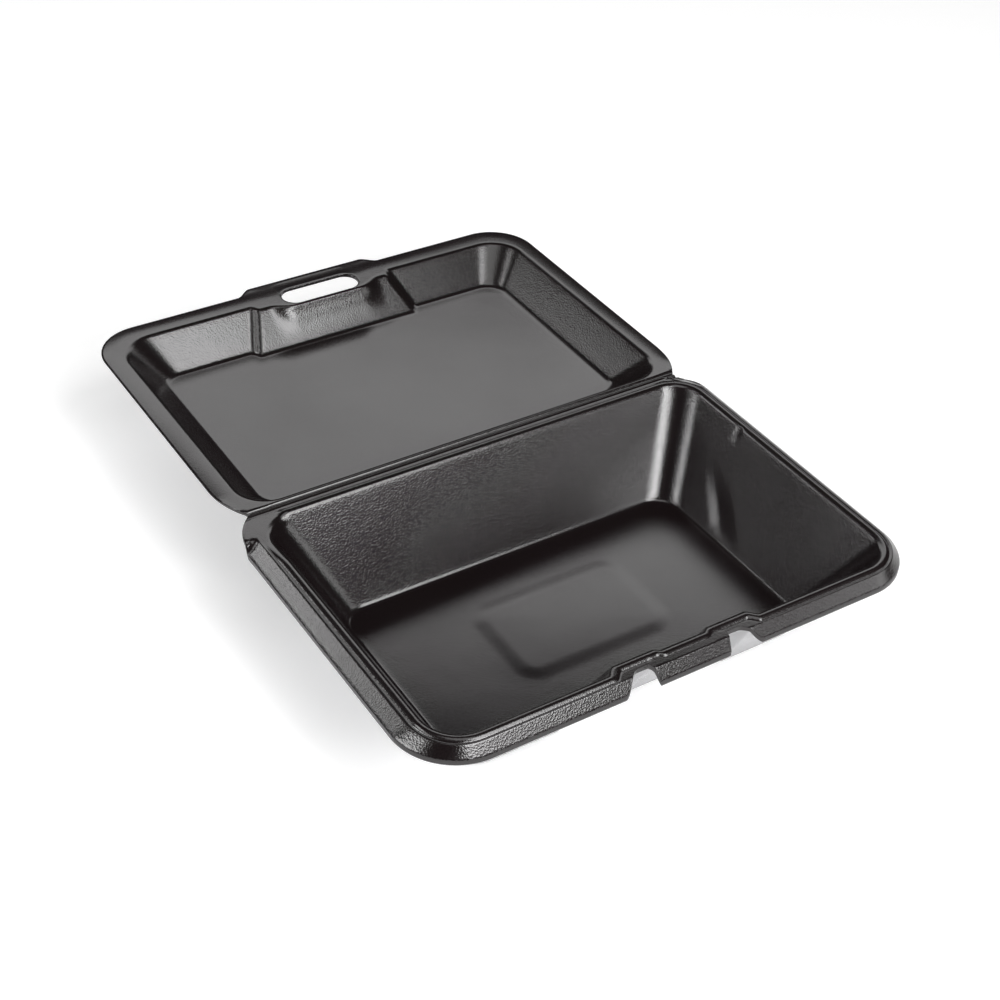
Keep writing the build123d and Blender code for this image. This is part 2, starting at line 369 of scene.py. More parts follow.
def mark_level(mesh):
    """Attribute level: 0 on the tray's steep walls, rising to 1 where the surface is nearly level."""
    normals = np.empty(len(mesh.vertices) * 3, np.float32)
    mesh.vertices.foreach_get("normal", normals)
    upward = np.abs(normals[2::3])
    level = 0.4 * smooth(0.52, 0.60, upward) + 0.6 * smooth(0.74, 0.86, upward)
    mesh.attributes.new("level", "FLOAT", "POINT").data.foreach_set("value", level.astype(np.float32))


def weld(mesh):
    """Joins corners that lie on each other, and turns the faces outwards."""
    work = bmesh.new()
    work.from_mesh(mesh)
    bmesh.ops.remove_doubles(work, verts=work.verts, dist=2e-6)
    bmesh.ops.dissolve_degenerate(work, edges=work.edges, dist=1e-7)
    bmesh.ops.recalc_face_normals(work, faces=work.faces)
    work.to_mesh(mesh)
    work.free()


def shell_from_rows(rows, skins, poles, breaks=()):
    """Corners, faces and skins of a shell: rows in order, and a pole at each end.

    No faces follow the rows in breaks."""
    count = len(rows[0])
    vertices = np.concatenate([*rows, np.array(poles)])
    kept = [k for k in range(len(rows) - 1) if k not in breaks]
    faces = [band_faces(k * count, (k + 1) * count, count) for k in kept]
    face_skins = [np.full(count, skins[k]) for k in kept]
    i = np.arange(count)
    j = (i + 1) % count
    top_pole = len(rows) * count
    last = (len(rows) - 1) * count
    ends = [
        np.stack([np.full(count, top_pole), j, i], 1),
        np.stack([np.full(count, top_pole + 1), last + i, last + j], 1),
    ]
    end_skins = [np.full(count, skins[0]), np.full(count, skins[-1])]
    return vertices, [*faces, *ends], [*face_skins, *end_skins]


def between(first, second, shares):
    """Rows part of the way from one row of points to another."""
    return [first + (second - first) * share for share in shares]


# Tray


def tray_ring(s, level, spread):
    """Outline of the tray's wall at a level, moved out by spread from its inner face."""
    share = (s.height - level) / (s.height - s.sheet)
    run_x = (s.opening_width - s.floor_width) / 2
    run_y = (s.opening_depth - s.floor_depth) / 2
    half_width = s.opening_width / 2 - run_x * share + spread
    half_depth = s.opening_depth / 2 - run_y * share + spread
    front_radius = s.front_radius + (s.floor_radius - s.front_radius) * share + spread
    back_radius = s.back_radius + (s.floor_radius - s.back_radius) * share + spread
    points = wall_ring(TRAY_LANES, half_width, half_depth, half_depth, front_radius, back_radius)
    half = s.inset_half_width + (s.inset_foot_half_width - s.inset_half_width) * share - spread / 2
    depth = s.inset_depth + (s.inset_foot_depth - s.inset_depth) * share
    seat = depth - s.seat_depth + (s.seat_depth - s.fade_depth) * share
    steps = [(half, s.inset_shoulder, depth), (s.seat_half_width, s.seat_shoulder, seat)]
    return pull(points, steps, front_radius - half_depth)


def notch_reach(s, x):
    """How far the skirt's front edge is cut back at each x by the two arched notches."""
    x = np.abs(x)
    depth = s.rim_front - s.notch_reach
    tab_side = smooth(s.tab_half_width - 0.0003, s.notch_centre - s.notch_root, x)
    flare = 1 - smooth(s.notch_centre + s.notch_root * 0.5, s.notch_end, x)
    return depth * tab_side * flare


def dent(s, points):
    """Pushes the right wall out along a leaning crease: a wedge that fades out above, and a nick in the brim.

    The crease leans by crease_lean for each unit of height. The push falls off evenly from it, over
    crease_back towards the hinge and over crease_front towards the front."""
    x, y, z = points.T
    aside = y - s.crease_foot - s.crease_lean * z
    wedge = np.clip(1 - np.maximum(aside / s.crease_back, -aside / s.crease_front), 0, 1)
    wedge = wedge * smooth(0.0045, 0.009, z) * (1 - smooth(0.014, 0.028, z))
    nick = np.exp(-(((y - s.nick_place) / 0.0016) ** 2))
    nick = nick * smooth(0.0385, 0.0420, z) * (1 - smooth(0.0450, 0.0462, z))
    moved = points.copy()
    moved[:, 0] += (s.dent_depth * wedge + s.nick_depth * nick) * (x > 0.068)
    return moved


def tray_shell(s):
    """The tray's shell: rows from the floor's middle up the wall, over the rim, and down the outside."""
    draft = (s.opening_width - s.floor_width) / 2 / (s.height - s.sheet)
    wall_spread = s.sheet * math.sqrt(1 + draft**2)
    rows = []

    # floor with its raised pad
    for share in np.linspace(0, 1, 9):
        rise = s.pad_rise * smooth(1, 0, share)
        rows.append(lift(pad_ring(s, s.pad_slope * (1.6 * share - 0.6)), s.sheet + rise))
    cove = rounding(s.cove_radius, draft, 9)
    floor_edge = lift(tray_ring(s, s.sheet, -cove[0][1]), s.sheet)
    inner_edge = lift(inset_ring(TRAY_LANES, floor_edge), s.sheet)
    rows += between(rows[-1], inner_edge, (0.25, 0.5, 0.75, 1))
    rows += between(inner_edge, floor_edge, (0.3, 0.6, 0.85))

    # cove, wall, and the rounded inside of the bead
    rows += [lift(tray_ring(s, s.sheet + height, -inset), s.sheet + height) for height, inset in cove]
    brim = rounding(s.brim_radius, draft, 9)[::-1]
    low, high = s.sheet + cove[-1][0], s.height - brim[0][0]
    for level in np.linspace(low, high, 26)[1:-1]:
        rows.append(dent(s, lift(tray_ring(s, level, 0), level)))
    for height, inset in brim:
        points = tray_ring(s, s.height - height, inset)
        rows.append(dent(s, lift(points, rim_crown(s, points) - height)))

    # outside of the bead, and the groove beside it, which fades out behind the lock tab
    flat = s.height - s.shoulder_drop
    bead_steps = np.linspace(s.crown, s.bead_width, 11)
    groove_steps = np.linspace(s.bead_width, s.groove_end, 7)[1:]
    for out in (*bead_steps, *groove_steps):
        points = tray_ring(s, s.height, out)
        over = np.maximum(points[:, 1] - (s.seam - 0.0005), 0)
        back = seam_share(s, points)
        points[:, 1] -= over * 0.65
        crown, base = rim_crown(s, points), rim_base(s, points)
        groove = groove_share(s, points) * (1 - smooth(s.bead_width, s.groove_end, out))
        fall = min(1.0, (out - s.crown) / (s.bead_width - s.crown)) ** 2
        level = crown + (base - s.groove_depth * groove - crown) * fall
        rows.append(lift(points, np.minimum(level, crown + (base - s.groove_depth - crown) * back)))
    groove_out = rows[-1]

    # skirt down to the cut edge, which the notches reach into, and the flat lands beside the hinge
    corner = slice(*corner_span(TRAY_LANES))
    outer = tip_ring(TRAY_LANES, s.rim_width / 2, s.rim_front, s.rim_front_radius, s.land_start,
                     (s.hinge_half_length, HINGE.y - TIP_GAP), s.seam, groove_out[corner][-1][0])
    mix = np.linspace(0.085, 0.4, CORNER_POINTS)[:, None]
    shoulder_corner = groove_out[corner, :2] * (1 - mix) + outer[corner] * mix
    shoulder = ring(TRAY_LANES, s.shoulder_width / 2, s.shoulder_front, s.shoulder_radius, shoulder_corner)
    front = np.abs(outer[:, 1] + s.rim_front) < ON_EDGE
    full = (groove_out[:, 1] + s.shoulder_front) / (groove_out[:, 1] + s.rim_front)
    outer[front, 1] += notch_reach(s, outer[front, 0])
    place = groove_out[:, 1] + (outer[:, 1] - groove_out[:, 1]) * full
    shoulder[front, 1] = place[front]
    top_rows = between(groove_out[:, :2], shoulder, (0.3, 0.7))
    slope_shares = (0, 0.02, 0.06, 0.12, 0.2, 0.35, 0.5, 0.65, 0.8, 0.92, 1)
    top_rows += between(shoulder, outer, slope_shares)
    top = [rim_level(s, row, share, front) for row, share in zip(top_rows, (0, 0, *slope_shares))]
    rows += [lift(row, level) for row, level in zip(top_rows, top)]
    rows[-1][:, 2] -= EDGE_EASE
    edge_row = len(rows)

    # cut edge, and the underside of the skirt back to the wall
    on_land = smooth(s.land_start, s.land_start + s.step_width, outer[:, 1])
    sheet = s.skirt_sheet + (s.land_sheet - s.skirt_sheet) * on_land
    rows.append(lift(outer, top[-1] - sheet + EDGE_EASE))
    for row, level in list(zip(top_rows, top))[:1:-3]:
        rows.append(lift(row, level - sheet))
    join = flat - s.skirt_sheet
    wall_top = tray_ring(s, join, wall_spread)
    rows.append(lift(wall_top + (groove_out[:, :2] - wall_top) * 0.5, np.minimum(top[0] - sheet, join)))

    # outside of the wall, down to the rounded edge of the foot
    foot = rounding(s.foot_radius, draft, 7)
    for level in np.linspace(join, foot[-1][0], 14)[:-1]:
        rows.append(dent(s, lift(tray_ring(s, level, wall_spread), level)))
    rows += [lift(tray_ring(s, height, wall_spread - inset), height) for height, inset in foot[::-1]]

    # underside, with the recess below the pad
    foot_edge = rows[-1]
    inner_foot = lift(inset_ring(TRAY_LANES, foot_edge), 0.0)
    rows += between(foot_edge, inner_foot, (0.5, 1))
    rows.append(lift(pad_ring(s, s.pad_slope * 2), 0.0))
    for share in np.linspace(1, 0, 6):
        rows.append(lift(pad_ring(s, s.pad_slope * (1.6 * share - 0.6)), s.pad_rise * smooth(1, 0, share)))
    skins = [BLACK] * edge_row + [PALE] * (len(rows) - edge_row)
    poles = [(0, 0, s.sheet + s.pad_rise), (0, 0, s.pad_rise)]
    return shell_from_rows(rows, skins, poles)


def inset_ring(lane, edge):
    """Plain rounded rectangle inside a row of points, which keeps the lanes straight up to a stepped edge."""
    half_width = edge[:, 0].max() - INNER_INSET
    front, back = -edge[:, 1].min() - INNER_INSET, edge[:, 1].max() - INNER_INSET
    return wall_ring(lane, half_width, front, back, INNER_RADIUS, INNER_RADIUS)


def pad_ring(s, out):
    """Outline of the pad in the floor, moved out."""
    half, depth, radius = s.pad_width / 2 + out, s.pad_depth / 2 + out, s.pad_radius + out
    return wall_ring(TRAY_LANES, half, depth, depth, radius, radius)


def corner_span(lane):
    """Numbers of the first and the last points of the right back corner in an outline."""
    front = len(lane) + 2 * END_POINTS
    start = front + CORNER_POINTS - 1 + len(side_shares()) - 2
    return start, start + CORNER_POINTS


def groove_share(s, points):
    """Share of the groove's depth: none behind the lock tab, and none round the left back corner."""
    across = np.abs(points[:, 0])
    tab = (1 - smooth(s.tab_half_width - 0.001, s.tab_half_width + 0.0012, across)) * (points[:, 1] < -0.05)
    return (1 - tab) * (1 - corner_share(s, points))


def corner_share(s, points, run=0.0065):
    """1 round the left back corner, where the rim is one level land from the opening outwards.

    It fades in over run, up to the start of the land."""
    x, y = points[:, 0], points[:, 1]
    end = s.land_start - 0.0005
    return smooth(end - run, end, y) * (1 - seam_weight(s, x)) * (x < 0)


def rim_crown(s, points):
    """Height of the rim's top: that of the bead, and that of the land round the left back corner."""
    return s.height - s.land_drop * corner_share(s, points, 0.018)


def rim_base(s, points):
    """Height of the rim outside the bead: a little below it, and level with the land at the left back."""
    return s.height - s.shoulder_drop - (s.land_drop - s.shoulder_drop) * corner_share(s, points)


def tray_side(s, y):
    """Half width of the tray's rim at each y, which curves in towards the hinge."""
    tip = (s.hinge_half_length, HINGE.y - TIP_GAP)
    return curve_width(s.rim_width / 2, tip, s.land_start, np.clip(y, s.land_start, HINGE.y - TIP_GAP))


def droop(s, x, y):
    """How far the right land slopes down towards its outer edge; the left one is level."""
    beside = 1 - (tray_side(s, y) - x) / s.droop_width
    return s.droop_depth * smooth(0, 1, beside) * (1 - smooth(HINGE.y - 0.0010, HINGE.y - 0.0002, y))


def seam_weight(s, x):
    """1 where the pressed groove runs along the hinge, and 0 on the lands at its ends."""
    end = s.opening_width / 2 - s.back_radius
    return 1 - smooth(end + 0.0005, end + 0.0045, np.abs(x))


def seam_share(s, points):
    """Share of the groove pressed along the hinge, which starts just before the seam."""
    return smooth(s.seam - 0.0011, s.seam - 0.0006, points[:, 1]) * seam_weight(s, points[:, 0])


def rim_level(s, row, share, front):
    """Height of the rim's upper side: flat, then down the skirt, and up again to the lands."""
    x, y = row[:, 0], row[:, 1]
    flat = s.height - s.shoulder_drop
    base = rim_base(s, row)
    run = s.rim_front - s.shoulder_front
    down = np.where(front, np.clip((-y - s.shoulder_front) / run, 0, 1), share)
    round_off = 0.06
    down = np.where(down < round_off, down**2 / (2 * round_off), down - round_off / 2) / (1 - round_off / 2)
    skirt = base - (s.skirt_drop - s.shoulder_drop) * down
    land = s.height - s.land_drop - droop(s, x, y)
    step_width = np.where(x > 0, s.droop_run, s.step_width)
    land_share = smooth(s.land_start, s.land_start + step_width, y)
    level = skirt + (land - skirt) * land_share
    back = seam_share(s, row)
    return level + (flat - s.groove_depth - level) * back


# Lid


def lid_ring(s, level, spread):
    """Outline of the lid's wall at a level, moved out by spread.

    The plan's second axis points to the hinge."""
    share = (s.flange_level - level) / s.depth
    run = (s.opening_width - s.panel_width) / 2
    half_width = s.opening_width / 2 - run * share + spread
    far = HINGE.y + s.opening_far + (s.panel_far - s.opening_far) * share + spread
    near = HINGE.y + s.opening_near + (s.panel_near - s.opening_near) * share - spread
    far_radius = s.far_radius + (s.panel_radius - s.far_radius) * share + spread
    near_radius = s.near_radius + (s.panel_radius - s.near_radius) * share + spread
    points = wall_ring(LID_LANES, half_width, far, -near, far_radius, near_radius)
    half = s.inset_half_width + (s.inset_foot_half_width - s.inset_half_width) * share - spread / 2
    depth = s.inset_depth + (s.inset_foot_depth - s.inset_depth) * share
    shelf = depth + (s.shelf_depth - s.inset_depth) * np.clip(1 - share, 0, 1) ** s.shelf_curve
    steps = [(half, s.inset_shoulder, depth), (s.shelf_half_width, s.shelf_shoulder, shelf)]
    return pull(points, steps, far_radius - far)


def slot_distance(s, x, v):
    """Distance outside the slot's outline, a straight slot with round ends."""
    radius = s.slot_width / 2
    middle = HINGE.y + s.slot_near + radius
    across = np.maximum(np.abs(x) - (s.slot_length / 2 - radius), 0)
    return np.hypot(across, -v - middle) - radius


def slot_half(s, x):
    """Half of the slot's width at each x."""
    radius = s.slot_width / 2
    across = np.clip(np.abs(x) - (s.slot_length / 2 - radius), 0, radius)
    return np.sqrt(np.maximum(radius**2 - across**2, 0))


def flange_top(s, row):
    """Height of the flange: flat, rounded off at the slot's edge, and pressed down along the hinge."""
    distance = np.clip(slot_distance(s, row[:, 0], row[:, 1]), 0, s.slot_edge_radius)
    drop = s.slot_edge_radius - np.sqrt(s.slot_edge_radius**2 - (s.slot_edge_radius - distance) ** 2)
    groove = np.exp(-(((-row[:, 1] - s.seam) / 0.0005) ** 2))
    return s.flange_level - drop - s.groove_depth * groove - s.roll_drop * rolled(s, row)


def rolled(s, row):
    """Share of the flange's roll at each point: the square of how far it lies towards the outer edge."""
    side = (np.abs(row[:, 0]) - (s.width / 2 - s.roll_width)) / s.roll_width
    far = (-row[:, 1] - HINGE.y - (s.reach - s.roll_width)) / s.roll_width
    corner_x = np.maximum(np.abs(row[:, 0]) - (s.width / 2 - s.corner_radius), 0)
    corner_y = np.maximum(-row[:, 1] - HINGE.y - (s.reach - s.corner_radius), 0)
    round_edge = (np.hypot(corner_x, corner_y) - (s.corner_radius - s.roll_width)) / s.roll_width
    in_corner = (corner_x > 0) & (corner_y > 0)
    share = np.where(in_corner, round_edge, np.maximum(side, far))
    near_hinge = smooth(s.seam + 0.004, s.seam + 0.016, -row[:, 1])
    return np.clip(share, 0, 1) ** 2 * near_hinge


def lid_shell(s):
    """The lid's shell: rows from the panel's middle up the wall, over the flange, and down the outside."""
    draft = (s.opening_width - s.panel_width) / 2 / s.depth
    wall_spread = s.sheet * math.sqrt(1 + draft**2)
    panel_level = s.flange_level - s.depth
    rows = []

    # panel, cove, wall, and the wall's rounded brim
    cove = rounding(s.cove_radius, draft, 9)
    panel_edge = lid_ring(s, panel_level, -cove[0][1])
    middle_y = HINGE.y + (s.panel_near + s.panel_far) / 2
    middle = np.array([0, -middle_y])
    inner_edge = inset_ring(LID_LANES, panel_edge)
    rows += [lift(middle + (inner_edge - middle) * share, panel_level) for share in (0.2, 0.45, 0.7, 0.88, 1)]
    rows += [lift(row, panel_level) for row in between(inner_edge, panel_edge, (0.3, 0.6, 0.85))]
    rows += [lift(lid_ring(s, panel_level + height, -inset), panel_level + height) for height, inset in cove]
    brim = rounding(s.brim_radius, draft, 9)[::-1]
    low, high = panel_level + cove[-1][0], s.flange_level - brim[0][0]
    rows += [lift(lid_ring(s, level, 0), level) for level in np.linspace(low, high, 10)[1:-1]]
    for height, inset in brim:
        rows.append(lift(lid_ring(s, s.flange_level - height, inset), s.flange_level - height))
    brim_edge = rows[-1][:, :2]

    # flange, in two parts that meet round the slot
    corner = slice(*corner_span(LID_LANES))
    outer = tip_ring(LID_LANES, s.width / 2, HINGE.y + s.reach, s.corner_radius, -(HINGE.y + s.side_end),
                     (s.hinge_half_length, -(HINGE.y + TIP_GAP)), -s.seam, brim_edge[corner][-1][0])
    front = np.abs(outer[:, 1] + HINGE.y + s.reach) < ON_EDGE
    x = outer[:, 0]
    nose = s.nose_reach * (1 - smooth(s.nose_half_width, s.nose_half_width + s.nose_shoulder, np.abs(x)))
    outer[front, 1] -= nose[front]
    slot_middle = -(HINGE.y + s.slot_near + s.slot_width / 2)
    halfway = (brim_edge + outer) / 2
    beside = front * (1 - smooth(s.slot_length / 2 + 0.001, s.slot_length / 2 + 0.014, np.abs(x)))
    halfway[:, 1] += (slot_middle - halfway[:, 1]) * beside
    halfway[:, 0] += (x - halfway[:, 0]) * beside
    opening = slot_half(s, x) * front
    near_edge, far_edge = halfway.copy(), halfway.copy()
    near_edge[:, 1] += opening
    far_edge[:, 1] -= opening
    inner_part = between(brim_edge, near_edge, (0.2, 0.4, 0.6, 0.75, 0.85, 0.92, 0.97, 1))
    outer_part = between(far_edge, outer, (0, 0.03, 0.08, 0.16, 0.3, 0.5, 0.75, 0.93, 1))
    breaks = [len(rows) + len(inner_part) - 1]
    near_top, far_top = breaks[0], breaks[0] + 1
    rows += [lift(row, flange_top(s, row)) for row in (*inner_part, *outer_part)]
    rows[-1][:, 2] -= EDGE_EASE
    edge_row = len(rows)

    # cut edge, underside of the flange, and the outside of the wall
    under = s.flange_level - s.sheet
    rows.append(lift(outer, under + EDGE_EASE))
    rows += [lift(row, under) for row in (*outer_part[-2:0:-2], far_edge)]
    far_under = len(rows) - 1
    breaks.append(far_under)
    rows += [lift(row, under) for row in inner_part[:2:-2]]
    near_under = far_under + 1
    foot = rounding(s.foot_radius, draft, 7)
    foot_level = panel_level - s.sheet
    for level in np.linspace(under, foot_level + foot[-1][0], 8)[:-1]:
        rows.append(lift(lid_ring(s, level, wall_spread), level))
    for height, inset in foot[::-1]:
        rows.append(lift(lid_ring(s, foot_level + height, wall_spread - inset), foot_level + height))
    foot_edge = rows[-1][:, :2]
    inner_foot = inset_ring(LID_LANES, foot_edge)
    rows += [lift(row, foot_level) for row in between(foot_edge, inner_foot, (0.5, 1))]
    rows += [lift(middle + (inner_foot - middle) * share, foot_level) for share in (0.7, 0.35)]
    skins = [BLACK] * edge_row + [PALE] * (len(rows) - edge_row)
    poles = [(0, -middle_y, panel_level), (0, -middle_y, foot_level)]
    vertices, faces, face_skins = shell_from_rows(rows, skins, poles, breaks)

    # walls of the slot
    count = len(outer)
    along = np.flatnonzero(front & (np.abs(x) < s.slot_length / 2 + ON_EDGE))[:-1]
    for upper, lower in ((near_top, near_under), (far_top, far_under)):
        first, second = upper * count + along, lower * count + along
        faces.append(np.stack([first, first + 1, second + 1, second], 1))
        face_skins.append(np.full(len(along), BLACK))
    vertices = vertices * (1, -1, 1)
    return vertices, faces, face_skins


# Hinge fold


def curve_width(half_width, tip, side_end, y):
    """Half width at y of a side that curves in from side_end to the point tip."""
    across = half_width - tip[0]
    along = abs(tip[1] - side_end)
    radius = (across**2 + along**2) / (2 * across)
    return half_width - radius + np.sqrt(radius**2 - (y - side_end) ** 2)


def bump_shape(y, place, width):
    """A bell across the fold: exp of minus the square of the distance over the width."""
    return np.exp(-(((y - place) / width) ** 2))


def fold_grid(tray, lid, fold):
    """The strip between the two seams: a bead, the crease and a step down to the flange, on a grid."""
    crease = np.arange(-0.0009, 0.00091, 0.0001) + HINGE.y
    before = np.linspace(tray.seam, crease[0], 14)[:-1]
    after = np.linspace(crease[-1], lid.seam, 12)[1:]
    y = np.concatenate([before, crease, after])
    lid_side = curve_width(lid.width / 2, (lid.hinge_half_length, HINGE.y + TIP_GAP), HINGE.y + lid.side_end,
                           np.maximum(y, HINGE.y + TIP_GAP))
    half = np.where(y < HINGE.y, tray_side(tray, y), lid_side)
    u = np.linspace(-1, 1, 141)
    x = half[:, None] * u
    yy = np.broadcast_to(y[:, None], x.shape)
    level_land = tray.height - tray.land_drop
    land = level_land - droop(tray, x, yy)
    top = land + (lid.flange_level - land) * smooth(HINGE.y - 0.001, HINGE.y + 0.0006, yy)
    top = top + fold.bead_rise * bump_shape(yy, HINGE.y - fold.bead_from_hinge, 0.0006)
    top = top - fold.crease_depth * bump_shape(yy, HINGE.y - 0.0002, 0.00042)
    top = top - lid.groove_depth * bump_shape(yy, lid.seam, 0.0005)
    dip = level_land - (tray.height - tray.shoulder_drop - tray.groove_depth)
    top = top - dip * bump_shape(yy, tray.seam, 0.0006) * seam_weight(tray, x)
    tray_under, lid_under = land - tray.land_sheet, lid.flange_level - lid.sheet
    under = tray_under + (lid_under - tray_under) * smooth(HINGE.y - 0.0012, HINGE.y + 0.0012, yy)
    under = under + fold.thinning * bump_shape(yy, HINGE.y, 0.0007)
    return x, yy, top, under


def fold_shell(tray, lid, fold):
    """Closed strip from the grid's upper and lower sides and the walls round them."""
    x, y, top, under = fold_grid(tray, lid, fold)
    rows, columns = x.shape
    vertices = np.concatenate([np.stack([x, y, z], 2).reshape(-1, 3) for z in (top, under)])
    number = np.arange(rows * columns).reshape(rows, columns)
    below = number + rows * columns
    upper = np.stack([number[:-1, :-1], number[:-1, 1:], number[1:, 1:], number[1:, :-1]], 2).reshape(-1, 4)
    lower = np.stack([below[:-1, :-1], below[1:, :-1], below[1:, 1:], below[:-1, 1:]], 2).reshape(-1, 4)
    border = np.concatenate([number[0, :-1], number[:-1, -1], number[-1, :0:-1], number[:0:-1, 0]])
    after = np.roll(border, -1)
    wall = np.stack([border, after, after + rows * columns, border + rows * columns], 1)
    skins = [np.full(len(upper), BLACK), np.full(len(lower), PALE), np.full(len(wall), BLACK)]
    return vertices, [upper, lower, wall], skins


# Settings


def length(name, description, default):
    """A size in metres, shown with the scene's units."""
    return bpy.props.FloatProperty(
        name=name,
        description=description,
        default=default,
        min=0,
        unit="LENGTH",
        subtype="DISTANCE",
        precision=4,
    )


def number(name, description, default):
    """A plain number."""
    return bpy.props.FloatProperty(name=name, description=description, default=default, precision=4)


def colour(name, description, default):
    """A linear colour."""
    return bpy.props.FloatVectorProperty(
        name=name, description=description, default=default, size=3, min=0, max=1, subtype="COLOR"
    )


class TraySizes(bpy.types.PropertyGroup):
    """Sizes of the tray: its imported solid's, but for a softer pad and groove, cove, corners and step."""

    height: length("Height", "From the foot to the top of the bead", TRAY_HIGH.z)
    sheet: length("Sheet", "Thickness of the wall and the floor", 0.0034)
    opening_width: length("Opening width", "Inside the bead, along the hinge", 0.2144)
    opening_depth: length("Opening depth", "Inside the bead, across the hinge", 0.1438)
    floor_width: length("Floor width", "Along the hinge", 0.1686)
    floor_depth: length("Floor depth", "Across the hinge", 0.0966)
    front_radius: length("Front corner radius", "Of the opening", 0.016)
    back_radius: length("Back corner radius", "Of the opening", 0.0136)
    floor_radius: length("Floor corner radius", "Of the floor's outline", 0.012)
    cove_radius: length("Cove radius", "Where the wall meets the floor", 0.0026)
    foot_radius: length("Foot radius", "Round the edge of the foot", 0.0026)
    pad_width: length("Pad width", "Raised pad in the floor", 0.068)
    pad_depth: length("Pad depth", "Raised pad in the floor", 0.0426)
    pad_radius: length("Pad radius", "Corners of the pad", 0.007)
    pad_rise: length("Pad rise", "Height of the pad", 0.0003)
    pad_slope: length("Pad slope", "Run of the pad's edge", 0.0056)
    inset_half_width: length("Inset half width", "Panel set in behind the lock tab, at the rim", 0.036)
    inset_foot_half_width: length("Inset foot half width", "The same at the floor", 0.042)
    inset_shoulder: length("Inset shoulder", "Run of the inset's side", 0.005)
    inset_depth: length("Inset depth", "At the rim", 0.0036)
    inset_foot_depth: length("Inset foot depth", "At the floor", 0.005)
    seat_half_width: length("Tab seat half width", "Where the wall stands out behind the tab", 0.013)
    seat_shoulder: length("Tab seat shoulder", "Run of the seat's side", 0.003)
    seat_depth: length("Tab seat depth", "How far the seat stands out", 0.0016)
    fade_depth: length("Fade depth", "What is left of the seat at the floor", 0.0005)
    brim_radius: length("Brim radius", "Inner rounding of the bead", 0.0026)
    crown: length("Crown", "From the opening to the middle of the bead's top", 0.0017)
    bead_width: length("Bead width", "From the opening to the foot of the bead", 0.0036)
    groove_end: length("Groove end", "From the opening to the skirt's top", 0.0043)
    groove_depth: length("Groove depth", "Beside the bead", 0.00015)
    shoulder_drop: length("Shoulder drop", "From the bead to the skirt's top", 0.0008)
    shoulder_width: length("Shoulder width", "Skirt's top, along the hinge", 0.2242)
    shoulder_front: length("Shoulder front", "Skirt's top, from the middle to the front", 0.0764)
    shoulder_radius: length("Shoulder radius", "Front corners of the skirt's top", 0.0205)
    rim_width: length("Rim width", "Over the skirt, along the hinge", TRAY_HIGH.x - TRAY_LOW.x)
    rim_front: length("Rim front", "From the middle to the skirt's front edge", -TRAY_LOW.y)
    rim_front_radius: length("Rim radius", "Front corners of the skirt's edge", 0.027)
    skirt_drop: length("Skirt drop", "From the bead to the skirt's edge", 0.0055)
    skirt_sheet: length("Skirt sheet", "Thickness of the skirt, upright", 0.0022)
    notch_reach: length("Notch reach", "From the middle to the root of a notch", 0.0739)
    notch_centre: length("Notch centre", "From the middle plane", 0.022)
    notch_root: length("Notch root", "Half width at the root", 0.0032)
    notch_end: length("Notch end", "Outer foot of a notch", 0.0326)
    tab_half_width: length("Tab half width", "Lock tab between the notches", 0.0166)
    land_drop: length("Land drop", "From the bead to the lands by the hinge", 0.001)
    land_sheet: length("Land sheet", "Thickness of the lands", 0.0018)
    land_start: length("Land start", "Where the skirt steps up to the lands", 0.0609)
    step_width: length("Step width", "Run of that step", 0.0030)
    hinge_half_length: length("Hinge half length", "Half of the fold's length", 0.107)
    seam: length("Tray seam", "Where the shell meets the fold", 0.076)
    droop_depth: length("Droop depth", "How far the right land's outer edge slopes down", 0.0029)
    droop_width: length("Droop width", "Outer part of the right land that slopes", 0.0095)
    droop_run: length("Droop run", "Where the right skirt rises to its land", 0.011)
    dent_depth: length("Dent depth", "How far the right wall's crease is pushed", 0.0009)
    crease_foot: length("Crease foot", "From the middle plane, at the foot's level", 0.0032)
    crease_lean: number("Crease lean", "Run for each unit of height", 1.09)
    crease_back: length("Crease back", "Reach of the dent towards the hinge", 0.0070)
    crease_front: length("Crease front", "Reach of the dent towards the front", 0.0130)
    nick_place: length("Nick place", "Nick in the right brim, from the middle plane", 0.0295)
    nick_depth: length("Nick depth", "How far the brim is pushed there", 0.0006)


